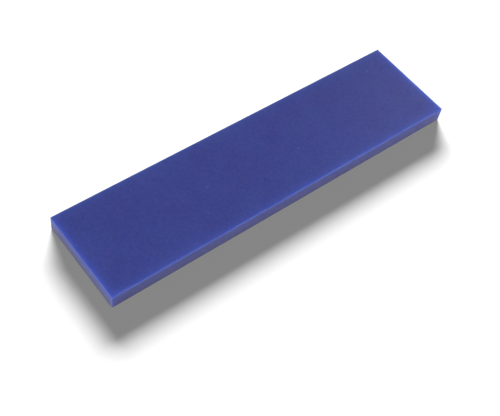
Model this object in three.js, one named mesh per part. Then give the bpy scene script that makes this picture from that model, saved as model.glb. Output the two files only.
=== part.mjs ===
// Squeegee applicator: a bare rectangular blade, cast in polyurethane and cut square on all four sides.
// Millimetres, +Z up. The blade lies flat with its underside at z = 0, centred on the Z axis. +X runs
// along its length and -Y points out of the long working edge.

import * as THREE from 'three';

// Overall size of the blade.
const BLADE_LENGTH = 152.4;
const BLADE_WIDTH = 38.1;
const BLADE_THICKNESS = 6.35;

// How far the cut edges are eased: all round the top and bottom faces, and at the four upright corners.
const ARRIS_RADIUS = 0.3;
const CORNER_RADIUS = 0.4;

// Straight steps that make up each rounded quarter turn.
const ARRIS_STEPS = 3;
const CORNER_STEPS = 6;

// A Shape's arc is drawn with this many steps for each one of curveSegments.
const ARC_STEPS_PER_SEGMENT = 2;

const QUARTER_TURN = Math.PI / 2;

// The blade seen from above: a rectangle whose four corners are quarter circles.
function bladeOutline() {
  const cornerX = BLADE_LENGTH / 2 - CORNER_RADIUS;
  const cornerY = BLADE_WIDTH / 2 - CORNER_RADIUS;
  const cornerCentres = [[cornerX, cornerY], [-cornerX, cornerY], [-cornerX, -cornerY], [cornerX, -cornerY]];
  const outline = new THREE.Shape();
  cornerCentres.forEach(([x, y], corner) => {
    const start = corner * QUARTER_TURN;
    outline.absarc(x, y, CORNER_RADIUS, start, start + QUARTER_TURN);
  });
  return outline;
}

// The arris is cut back into the outline, so that the blade's sides stand at its full length and width.
function bladeGeometry() {
  const geometry = new THREE.ExtrudeGeometry(bladeOutline(), {
    depth: BLADE_THICKNESS - 2 * ARRIS_RADIUS,
    bevelThickness: ARRIS_RADIUS,
    bevelSize: ARRIS_RADIUS,
    bevelOffset: -ARRIS_RADIUS,
    bevelSegments: ARRIS_STEPS,
    curveSegments: CORNER_STEPS / ARC_STEPS_PER_SEGMENT,
  });
  geometry.translate(0, 0, ARRIS_RADIUS);
  return geometry;
}

function makeBlade() {
  const polyurethane = new THREE.MeshStandardMaterial({ color: '#42498f', roughness: 0.42, metalness: 0 });
  const blade = new THREE.Mesh(bladeGeometry(), polyurethane);
  blade.name = 'squeegee_blade';
  return blade;
}

const applicator = new THREE.Group();
applicator.name = 'squeegee_applicator';
applicator.add(makeBlade());

export default applicator;
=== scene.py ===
# Looks of the squeegee applicator: one bare blade of cast, slightly translucent blue polyurethane on a
# pale table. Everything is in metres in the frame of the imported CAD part: +X along the blade's length,
# -Y out of its long working edge, +Z up, with the underside at z = 0.
import math

import bmesh
import bpy
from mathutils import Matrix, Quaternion, Vector, noise


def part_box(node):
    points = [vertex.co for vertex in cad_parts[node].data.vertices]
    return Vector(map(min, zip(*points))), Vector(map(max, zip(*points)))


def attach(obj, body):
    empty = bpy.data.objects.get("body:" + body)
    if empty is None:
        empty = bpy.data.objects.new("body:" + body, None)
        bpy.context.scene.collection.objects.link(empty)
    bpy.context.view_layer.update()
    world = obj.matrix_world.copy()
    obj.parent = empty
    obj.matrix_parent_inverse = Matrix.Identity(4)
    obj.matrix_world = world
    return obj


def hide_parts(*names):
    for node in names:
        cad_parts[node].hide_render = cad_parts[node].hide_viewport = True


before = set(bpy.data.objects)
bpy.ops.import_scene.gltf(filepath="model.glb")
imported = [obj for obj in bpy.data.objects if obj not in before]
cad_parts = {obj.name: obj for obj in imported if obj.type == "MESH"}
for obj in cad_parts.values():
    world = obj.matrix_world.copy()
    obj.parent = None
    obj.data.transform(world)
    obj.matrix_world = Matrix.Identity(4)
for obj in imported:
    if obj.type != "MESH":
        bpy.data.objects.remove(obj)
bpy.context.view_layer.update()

MM = 0.001
BLADE_NODE = "squeegee_blade"

# Camera: a 68 mm lens 333 mm from the point that it looks at, tilted a little to one side.
CAMERA_AZIMUTH = math.radians(-46.81)
CAMERA_ELEVATION = math.radians(53.74)
CAMERA_ROLL = math.radians(11.10)
CAMERA_DISTANCE = 333.4 * MM
CAMERA_AIM = Vector((-14.85, -13.48, 2.88)) * MM
CAMERA_LENS = 67.73

# Roundings of the cut edges, the same as on the CAD part.
ARRIS_RADIUS = 0.3 * MM
CORNER_RADIUS = 0.4 * MM
ROUNDING_STEPS = 4

# Spacing of the blade's mesh: along its broad faces, and up its cut sides.
FACE_PITCH = 0.7 * MM
SIDE_PITCH = 0.16 * MM

# Relief of the surface: how deep each kind of unevenness is, and how far apart it repeats.
WAVE_DEPTH = 0.035 * MM
WAVE_LENGTH = 24 * MM
RIPPLE_DEPTH = 0.006 * MM
RIPPLE_LENGTH = 5 * MM
RIPPLE_SHIFT = Vector((7, 3, 1))
HOLLOW_DEPTH = 0.05 * MM
KNIFE_DEPTH = 0.010 * MM
KNIFE_LENGTH = 30 * MM
KNIFE_HEIGHT = 0.35 * MM
CHATTER_DEPTH = 0.006 * MM
CHATTER_LENGTH = 1.6 * MM
CHATTER_STRETCH = 0.2

low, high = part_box(BLADE_NODE)
centre = (low + high) / 2
half = (high - low) / 2


# ---------------------------------------------------------------- shape

def stations(half_size, rounding, pitch):
    """Grid lines from -half_size to half_size, close together over the rounding at each end."""
    flat = half_size - rounding
    count = round(2 * flat / pitch)
    middle = [flat * (2 * n / count - 1) for n in range(count + 1)]
    end = [flat + rounding * n / ROUNDING_STEPS for n in range(1, ROUNDING_STEPS + 1)]
    return [-e for e in reversed(end)] + middle + end


def round_off(a, b):
    """Squeezes the unit square into a quarter circle; its far edges, a = 1 and b = 1, become the arc."""
    return a * math.sqrt(1 - b * b / 2), b * math.sqrt(1 - a * a / 2)


def outline_point(x, y):
    """A point of the sharp-cornered blade seen from above, moved so that its upright corners are round."""
    reach_x, reach_y = abs(x) - half.x + CORNER_RADIUS, abs(y) - half.y + CORNER_RADIUS
    if reach_x <= 0 or reach_y <= 0:
        return x, y
    a, b = round_off(reach_x / CORNER_RADIUS, reach_y / CORNER_RADIUS)
    return (
        math.copysign(half.x + (a - 1) * CORNER_RADIUS, x),
        math.copysign(half.y + (b - 1) * CORNER_RADIUS, y),
    )


def edge_of(x, y):
    """How far inside the outline a point is, and the direction out of the nearest side."""
    reach_x, reach_y = abs(x) - half.x + CORNER_RADIUS, abs(y) - half.y + CORNER_RADIUS
    if reach_x > 0 and reach_y > 0:
        out = Vector((math.copysign(reach_x, x), math.copysign(reach_y, y)))
        return CORNER_RADIUS - out.length, out.normalized()
    if reach_x - CORNER_RADIUS > reach_y - CORNER_RADIUS:
        return half.x - abs(x), Vector((math.copysign(1, x), 0))
    return half.y - abs(y), Vector((0, math.copysign(1, y)))


def rounded(x, y, z):
    """A point of the sharp box's surface, centred on the origin, moved onto the blade with eased edges."""
    x, y = outline_point(x, y)
    inside, out = edge_of(x, y)
    a = 1 - inside / ARRIS_RADIUS
    b = 1 - (half.z - abs(z)) / ARRIS_RADIUS
    if a <= 0 or b <= 0:
        return Vector((x, y, z))
    new_a, new_b = round_off(a, b)
    x += out.x * (new_a - a) * ARRIS_RADIUS
    y += out.y * (new_a - a) * ARRIS_RADIUS
    return Vector((x, y, math.copysign(half.z + (new_b - 1) * ARRIS_RADIUS, z)))


def box_faces(counts):
    """The quads of a box's surface as index triples, facing out; counts is the last index on each axis."""
    for axis in range(3):
        u, v = (axis + 1) % 3, (axis + 2) % 3
        for side in (0, counts[axis]):
            for i in range(counts[u]):
                for j in range(counts[v]):
                    quad = []
                    for du, dv in ((0, 0), (1, 0), (1, 1), (0, 1)):
                        key = [0, 0, 0]
                        key[axis], key[u], key[v] = side, i + du, j + dv
                        quad.append(tuple(key))
                    yield quad if side else quad[::-1]


def relief(point, normal):
    """How far the surface lies below the ideal one: waves in the cast faces, knife marks on the sides."""
    cast = abs(normal.z)
    wave = 0.5 + 0.5 * noise.noise(point / WAVE_LENGTH)
    ripple = 0.5 + 0.5 * noise.noise(point / RIPPLE_LENGTH + RIPPLE_SHIFT)
    cast_depth = WAVE_DEPTH * wave + RIPPLE_DEPTH * ripple

    height = (point.z + half.z) / (2 * half.z)
    hollow = 4 * height * (1 - height)
    along = Vector((point.x / KNIFE_LENGTH, point.y / KNIFE_LENGTH, point.z / KNIFE_HEIGHT))
    knife = 0.5 + 0.5 * noise.noise(along)
    upright = Vector((point.x, point.y, CHATTER_STRETCH * point.z))
    chatter = 0.5 + 0.5 * noise.noise(upright / CHATTER_LENGTH)
    cut_depth = HOLLOW_DEPTH * hollow + KNIFE_DEPTH * knife + CHATTER_DEPTH * chatter
    return cast * cast_depth + (1 - cast) * cut_depth


def make_blade():
    grid = (
        stations(half.x, CORNER_RADIUS, FACE_PITCH),
        stations(half.y, CORNER_RADIUS, FACE_PITCH),
        stations(half.z, ARRIS_RADIUS, SIDE_PITCH),
    )
    bm = bmesh.new()
    made = {}
    for quad in box_faces([len(line) - 1 for line in grid]):
        for key in quad:
            if key not in made:
                corner = (grid[axis][index] for axis, index in enumerate(key))
                made[key] = bm.verts.new(rounded(*corner))
        bm.faces.new([made[key] for key in quad]).smooth = True
    bm.normal_update()
    sunk = [vert.co - vert.normal * relief(vert.co, vert.normal) for vert in bm.verts]
    for vert, place in zip(bm.verts, sunk):
        vert.co = place + centre
    mesh = bpy.data.meshes.new("blade")
    bm.to_mesh(mesh)
    bm.free()
    blade = bpy.data.objects.new("blade", mesh)
    bpy.context.scene.collection.objects.link(blade)
    return blade


# ---------------------------------------------------------------- material

# Colours of the polyurethane, as light reflected (linear red, green, blue): the cast faces vary between four
# blues, the cut long sides and ends have one each, and a painted glow along the edges stands in for light
# leaking out through them.
CAST_BLUE = (0.041, 0.056, 0.280, 1)
CAST_BLUE_WARM = (0.059, 0.067, 0.322, 1)
CAST_BLUE_COOL = (0.043, 0.067, 0.300, 1)
CAST_BLUE_CLOUDY = (0.062, 0.073, 0.340, 1)
# The cut sides are greyed partly by their own matt cut surface and partly by a painted reflection of the
# pale table. The ends are lighter still with painted light, as if more light fell on them.
SIDE_MATT_AND_SHEEN_BLUE = (0.086, 0.086, 0.226, 1)
END_MATT_AND_LIT_BLUE = (0.122, 0.125, 0.262, 1)
CUT_PALE = (0.200, 0.200, 0.380, 1)
# Painted glow: the lighter blue that stands in for light leaking out along the edges.
PAINTED_GLOW_BLUE = (0.072, 0.120, 0.385, 1)
PIT_BLUE = (0.015, 0.018, 0.100, 1)
BUBBLE_BLUE = (0.130, 0.160, 0.450, 1)

# The painted glow along the edges, standing in for light that leaks out through them: how fast it dies away
# over a broad face and down a cut side from the upper face, how wide its even strip right at the edge is,
# and how much of the painted glow's colour it shows there.
FACE_RIM_MM = 1.8
SIDE_RIM_MM = 1.3
RIM_EDGE_MM = 0.6
PAINTED_GLOW_STRENGTH = 0.39

# The part of a noise's range that a pattern uses: it is bare below the first and full above the second.
PATTERN_LOW = 0.3
PATTERN_HIGH = 0.7

# Patterns in the colour: how many times each one repeats in a millimetre.
CLOUD_PER_MM = 0.11
MOTTLE_PER_MM = 1.2
GRAIN_PER_MM = 1.6
GRAIN_STRENGTH = 0.22

# Patterns in the gloss and the relief, again per millimetre, along X, Y and Z where they run in lines.
DULLNESS_PER_MM = 0.2
PEEL_PER_MM = 1.1
LONG_SIDE_KNIFE_PER_MM = (0.05, 0.05, 5.0)
END_KNIFE_PER_MM = (0.05, 4.0, 0.25)
SCUFF_PER_MM = (0.06, 2.6, 0.0)
CROSS_SCUFF_PER_MM = (1.9, 0.22, 0.0)
CROSS_SCUFF_SHIFT = (11.0, 5.0, 0.0)
SCUFF_ROUGHENS = 0.08
FACE_ROUGHNESS = (0.36, 0.43)
SIDE_ROUGHNESS = (0.52, 0.66)
PEEL_DEPTH = 0.006 * MM
KNIFE_BUMP_DEPTH = 0.035 * MM
PIT_DEPTH = 0.05 * MM

# Light inside the material: how far it wanders, as a share of the longest reach for red, green and blue.
SCATTER_REACH = 10 * MM
SCATTER_SHARE = (0.37, 0.54, 1.0)
REFRACTION = 1.5

# Small bubbles and pin-holes in the upper face: x, y and radius in millimetres, and whether it is lighter.
FLAW_STRENGTH = 0.9
FLAWS = (
    (64.0, 12.4, 0.54, True),
    (15.2, -3.5, 0.46, True),
    (-24.0, 0.4, 0.38, True),
    (-30.1, -8.9, 0.37, True),
    (-47.2, 13.9, 0.34, True),
    (-4.6, -8.3, 0.45, False),
)


class Nodes:
    """Adds shader nodes to one material. Each call links its inputs and returns the new node's output."""

    def __init__(self, material):
        self.tree = material.node_tree

    def plug(self, socket, value):
        if isinstance(value, bpy.types.NodeSocket):
            self.tree.links.new(value, socket)
        else:
            socket.default_value = value

    def math(self, operation, a, b=0.0, clamp=False):
        node = self.tree.nodes.new("ShaderNodeMath")
        node.operation, node.use_clamp = operation, clamp
        self.plug(node.inputs[0], a)
        self.plug(node.inputs[1], b)
        return node.outputs[0]

    def vector(self, operation, a, b):
        node = self.tree.nodes.new("ShaderNodeVectorMath")
        node.operation = operation
        self.plug(node.inputs[0], a)
        self.plug(node.inputs[1], b)
        return node.outputs["Value" if operation in ("DISTANCE", "LENGTH") else "Vector"]

    def ramp(self, value, start, end, low=0.0, high=1.0):
        """Runs smoothly from low to high as value goes from start to end."""
        node = self.tree.nodes.new("ShaderNodeMapRange")
        node.interpolation_type = "SMOOTHSTEP"
        names = ("Value", "From Min", "From Max", "To Min", "To Max")
        for name, number in zip(names, (value, start, end, low, high)):
            self.plug(node.inputs[name], number)
        return node.outputs["Result"]

    def pattern(self, noise, low=0.0, high=1.0):
        """The middle of a noise's range, spread from low to high."""
        return self.ramp(noise, PATTERN_LOW, PATTERN_HIGH, low, high)

    def noise(self, vector, scale, detail=2.0, distortion=0.0):
        node = self.tree.nodes.new("ShaderNodeTexNoise")
        names = ("Vector", "Scale", "Detail", "Distortion")
        for name, number in zip(names, (vector, scale, detail, distortion)):
            self.plug(node.inputs[name], number)
        return node.outputs["Fac"]

    def mix(self, factor, a, b):
        node = self.tree.nodes.new("ShaderNodeMix")
        node.data_type = "RGBA"
        self.plug(node.inputs["Factor"], factor)
        self.plug(node.inputs["A"], a)
        self.plug(node.inputs["B"], b)
        return node.outputs["Result"]

    def bump(self, height, depth, under=None):
        """Relief of the given depth, in metres, on top of the relief under it."""
        node = self.tree.nodes.new("ShaderNodeBump")
        node.inputs["Strength"].default_value = 1.0
        node.inputs["Distance"].default_value = depth
        self.plug(node.inputs["Height"], height)
        if under is not None:
            self.plug(node.inputs["Normal"], under)
        return node.outputs["Normal"]


def blade_places(n):
    """Where a point of the blade is, in millimetres: its position, and its distances from the edges."""
    coordinates = n.tree.nodes.new("ShaderNodeTexCoord").outputs["Object"]
    place = n.vector("MULTIPLY", coordinates, (1 / MM,) * 3)
    split = n.tree.nodes.new("ShaderNodeSeparateXYZ")
    n.plug(split.inputs[0], place)
    x, y, z = split.outputs
    to_end = n.math("SUBTRACT", half.x / MM, n.math("ABSOLUTE", x))
    to_long_side = n.math("SUBTRACT", half.y / MM, n.math("ABSOLUTE", y))
    inside = n.math("MAXIMUM", n.math("MINIMUM", to_end, to_long_side), 0.0)
    to_face = n.math("SUBTRACT", high.z / MM, z)
    on_end = n.math("LESS_THAN", to_end, to_long_side)
    arris = ARRIS_RADIUS / MM
    cut_side = n.ramp(inside, 0.8 * arris, 0.1 * arris)
    below_arris = n.ramp(to_face, 0.0, 2 * arris, 0.2, 1.0)
    cut = n.math("MULTIPLY", cut_side, below_arris)
    return place, inside, n.math("MAXIMUM", to_face, 0.0), cut, on_end


def fade(n, distance, reach):
    """1 along the edge, dying away over the given reach."""
    past_edge = n.math("MAXIMUM", n.math("SUBTRACT", distance, RIM_EDGE_MM), 0.0)
    return n.math("EXPONENT", n.math("DIVIDE", past_edge, -reach))


def painted_edge_glow(n, inside, to_face, cut):
    """How strongly the painted glow of light leaking through an edge shows: on the broad faces, and on the
    cut sides below the upper face.
    """
    on_face = fade(n, inside, FACE_RIM_MM)
    on_side = fade(n, to_face, SIDE_RIM_MM)
    blend = n.math("ADD", on_face, n.math("MULTIPLY", cut, n.math("SUBTRACT", on_side, on_face)))
    return n.math("MULTIPLY", blend, PAINTED_GLOW_STRENGTH)


def streaks(n, place, squeeze):
    """Fine parallel lines: noise that is squeezed across them and stretched along them."""
    return n.noise(n.vector("MULTIPLY", place, squeeze), 1.0, 3.0)


def polyurethane():
    material = bpy.data.materials.new("polyurethane")
    material.use_nodes = True
    n = Nodes(material)
    shader = material.node_tree.nodes["Principled BSDF"]
    place, inside, to_face, cut, on_end = blade_places(n)
    on_long_side = n.math("SUBTRACT", 1.0, on_end)
    uncut = n.math("SUBTRACT", 1.0, cut)

    cloud = n.pattern(n.noise(place, CLOUD_PER_MM, 3.0, 0.4))
    mottle = n.pattern(n.noise(place, MOTTLE_PER_MM))
    clear = n.mix(mottle, CAST_BLUE, CAST_BLUE_WARM)
    clouded = n.mix(mottle, CAST_BLUE_COOL, CAST_BLUE_CLOUDY)
    faces = n.mix(cloud, clear, clouded)
    grain = n.pattern(n.noise(place, GRAIN_PER_MM), 0.0, GRAIN_STRENGTH)
    # Cut sides: their own matt grey plus a painted reflection, with the ends made lighter by painted light,
    # under the knife grain.
    sides = n.mix(grain, n.mix(on_end, SIDE_MATT_AND_SHEEN_BLUE, END_MATT_AND_LIT_BLUE), CUT_PALE)
    # Painted glow: the colour turns towards a lighter blue along the edges, standing in for light that leaks
    # out of the translucent blade.
    colour = n.mix(painted_edge_glow(n, inside, to_face, cut), n.mix(cut, faces, sides), PAINTED_GLOW_BLUE)
    pits = 0.0
    for x, y, radius, lighter in FLAWS:
        spot = n.ramp(n.vector("DISTANCE", place, (x, y, high.z / MM)), radius, 0.3 * radius)
        colour = n.mix(n.math("MULTIPLY", spot, FLAW_STRENGTH), colour, BUBBLE_BLUE if lighter else PIT_BLUE)
        pits = n.math("MAXIMUM", pits, spot)

    end_knife = n.math("MULTIPLY", on_end, streaks(n, place, END_KNIFE_PER_MM))
    long_side_knife = n.math("MULTIPLY", on_long_side, streaks(n, place, LONG_SIDE_KNIFE_PER_MM))
    knife = n.math("ADD", end_knife, long_side_knife)
    scuff = n.ramp(streaks(n, place, SCUFF_PER_MM), 0.60, 0.68)
    shifted = n.vector("ADD", place, CROSS_SCUFF_SHIFT)
    cross_scuff = n.ramp(streaks(n, shifted, CROSS_SCUFF_PER_MM), 0.66, 0.72)
    marks = n.math("MULTIPLY", n.math("ADD", scuff, cross_scuff), uncut, True)

    dullness = n.pattern(n.noise(place, DULLNESS_PER_MM), *FACE_ROUGHNESS)
    face_rough = n.math("ADD", dullness, n.math("MULTIPLY", marks, SCUFF_ROUGHENS))
    side_rough = n.ramp(knife, 0.35, 0.65, *SIDE_ROUGHNESS)
    rough = n.math("ADD", face_rough, n.math("MULTIPLY", cut, n.math("SUBTRACT", side_rough, face_rough)))

    peel = n.noise(place, PEEL_PER_MM)
    face_relief = n.bump(n.math("MULTIPLY", peel, uncut), PEEL_DEPTH)
    side_relief = n.bump(n.math("MULTIPLY", knife, cut), KNIFE_BUMP_DEPTH, face_relief)
    pitted_relief = n.bump(n.math("SUBTRACT", 1.0, pits), PIT_DEPTH, side_relief)

    n.plug(shader.inputs["Base Color"], colour)
    n.plug(shader.inputs["Roughness"], rough)
    n.plug(shader.inputs["Normal"], pitted_relief)
    shader.inputs["IOR"].default_value = REFRACTION
    shader.inputs["Subsurface Weight"].default_value = 1.0
    shader.inputs["Subsurface Radius"].default_value = SCATTER_SHARE
    shader.inputs["Subsurface Scale"].default_value = SCATTER_REACH
    return material


# ---------------------------------------------------------------- stage, light and camera

# How pale the table looks, how much of its light it throws back on the blade, how far it reaches from
# the blade to each side, and how far below the blade it lies, so that the two don't touch.
FLOOR_GREY_SEEN = 0.85
FLOOR_GREY_FOR_BLADE = 0.25
FLOOR_REACH = 2.0
FLOOR_GAP = 0.02 * MM

# Strength of the even white room, as light on the scene and as seen behind the floor.
ROOM_LIGHT = 0.254
ROOM_SEEN = 1.05

# Each softbox: azimuth and elevation in degrees, distance, width and height in metres, power in watts.
# A wide one behind the blade and a weak fill in front light the table.
TABLE_SOFTBOXES = {
    "table_softbox": (57.5, 18.7, 12.0, 8.74, 3.16, 5200),
    "table_fill": (250, 20, 12.0, 6.4, 6.4, 109),
}
# Three light the blade's sides, and one puts a sheen on the right of its upper face.
SIDE_SOFTBOXES = {
    "left_softbox": (195, 20, 0.6, 0.3, 0.3, 3.0),
    "front_softbox": (308, 26, 0.6, 0.3, 0.3, 2.85),
    "right_softbox": (345, 10, 0.6, 0.3, 0.3, 0.48),
}
SHEEN_SOFTBOX = (15, 35, 0.35, 0.17, 0.17, 0.062)


def make_floor():
    mesh = bpy.data.meshes.new("floor")
    r = FLOOR_REACH
    corners = [(-r, -r, 0), (r, -r, 0), (r, r, 0), (-r, r, 0)]
    mesh.from_pydata(corners, [], [(0, 1, 2, 3)])
    floor = bpy.data.objects.new("floor", mesh)
    floor.location.z = -FLOOR_GAP
    material = bpy.data.materials.new("table")
    material.use_nodes = True
    shader = material.node_tree.nodes["Principled BSDF"]
    shader.inputs["Roughness"].default_value = 0.9
    nodes, links = material.node_tree.nodes, material.node_tree.links
    grey = nodes.new("ShaderNodeMapRange")
    grey.inputs["To Min"].default_value = FLOOR_GREY_FOR_BLADE
    grey.inputs["To Max"].default_value = FLOOR_GREY_SEEN
    links.new(nodes.new("ShaderNodeLightPath").outputs["Is Camera Ray"], grey.inputs["Value"])
    links.new(grey.outputs["Result"], shader.inputs["Base Color"])
    mesh.materials.append(material)
    bpy.context.scene.collection.objects.link(floor)
    return floor


def light_only(lamp, target):
    """The lamp lights target and nothing else; everything still casts its shadow."""
    group = bpy.data.collections.new(lamp.name + "_lights")
    group.objects.link(target)
    lamp.light_linking.receiver_collection = group


def from_sky(azimuth, elevation):
    """The direction of a point of the sky; azimuth 0 is +X and 90 is +Y."""
    a, e = math.radians(azimuth), math.radians(elevation)
    return Vector((math.cos(a) * math.cos(e), math.sin(a) * math.cos(e), math.sin(e)))


def make_softbox(name, azimuth, elevation, distance, width, height, power):
    """An oval light that faces the blade from a point of the sky; its width lies level. Metres and watts."""
    data = bpy.data.lights.new(name, "AREA")
    data.shape = "ELLIPSE"
    data.size, data.size_y = width, height
    data.energy = power
    lamp = bpy.data.objects.new(name, data)
    toward = from_sky(azimuth, elevation)
    lamp.location = toward * distance
    lamp.rotation_mode = "QUATERNION"
    lamp.rotation_quaternion = toward.to_track_quat("Z", "Y")
    lamp.visible_camera = False
    bpy.context.scene.collection.objects.link(lamp)
    return lamp


def make_world(lighting, seen):
    """An even white room: it lights the scene with one strength and shows behind the floor with another."""
    world = bpy.data.worlds.new("studio")
    world.use_nodes = True
    nodes, links = world.node_tree.nodes, world.node_tree.links
    background = nodes["Background"]
    background.inputs["Color"].default_value = (1, 1, 1, 1)
    ray = nodes.new("ShaderNodeLightPath")
    strength = nodes.new("ShaderNodeMapRange")
    strength.inputs["To Min"].default_value = lighting
    strength.inputs["To Max"].default_value = seen
    links.new(ray.outputs["Is Camera Ray"], strength.inputs["Value"])
    links.new(strength.outputs["Result"], background.inputs["Strength"])
    bpy.context.scene.world = world


def make_camera():
    back = Vector((
        math.sin(CAMERA_AZIMUTH) * math.cos(CAMERA_ELEVATION),
        -math.cos(CAMERA_AZIMUTH) * math.cos(CAMERA_ELEVATION),
        math.sin(CAMERA_ELEVATION),
    ))
    data = bpy.data.cameras.new("camera")
    data.lens = CAMERA_LENS
    data.sensor_width = 36
    camera = bpy.data.objects.new("camera", data)
    camera.location = CAMERA_AIM + back * CAMERA_DISTANCE
    camera.rotation_mode = "QUATERNION"
    camera.rotation_quaternion = (-back).to_track_quat("-Z", "Y") @ Quaternion((0, 0, 1), CAMERA_ROLL)
    bpy.context.scene.collection.objects.link(camera)
    bpy.context.scene.camera = camera


make_camera()
floor = make_floor()
make_world(ROOM_LIGHT, ROOM_SEEN)
bpy.context.scene.view_settings.view_transform = "Standard"

blade = make_blade()
blade.data.materials.append(polyurethane())
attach(blade, "root")
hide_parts(BLADE_NODE)

for name, place in TABLE_SOFTBOXES.items():
    light_only(make_softbox(name, *place), floor)
for name, place in SIDE_SOFTBOXES.items():
    softbox = make_softbox(name, *place)
    softbox.visible_glossy = False
    light_only(softbox, blade)
light_only(make_softbox("sheen_softbox", *SHEEN_SOFTBOX), blade)

# The table's shadow is one even grey, with no tint from the blade.
blade.visible_diffuse = False
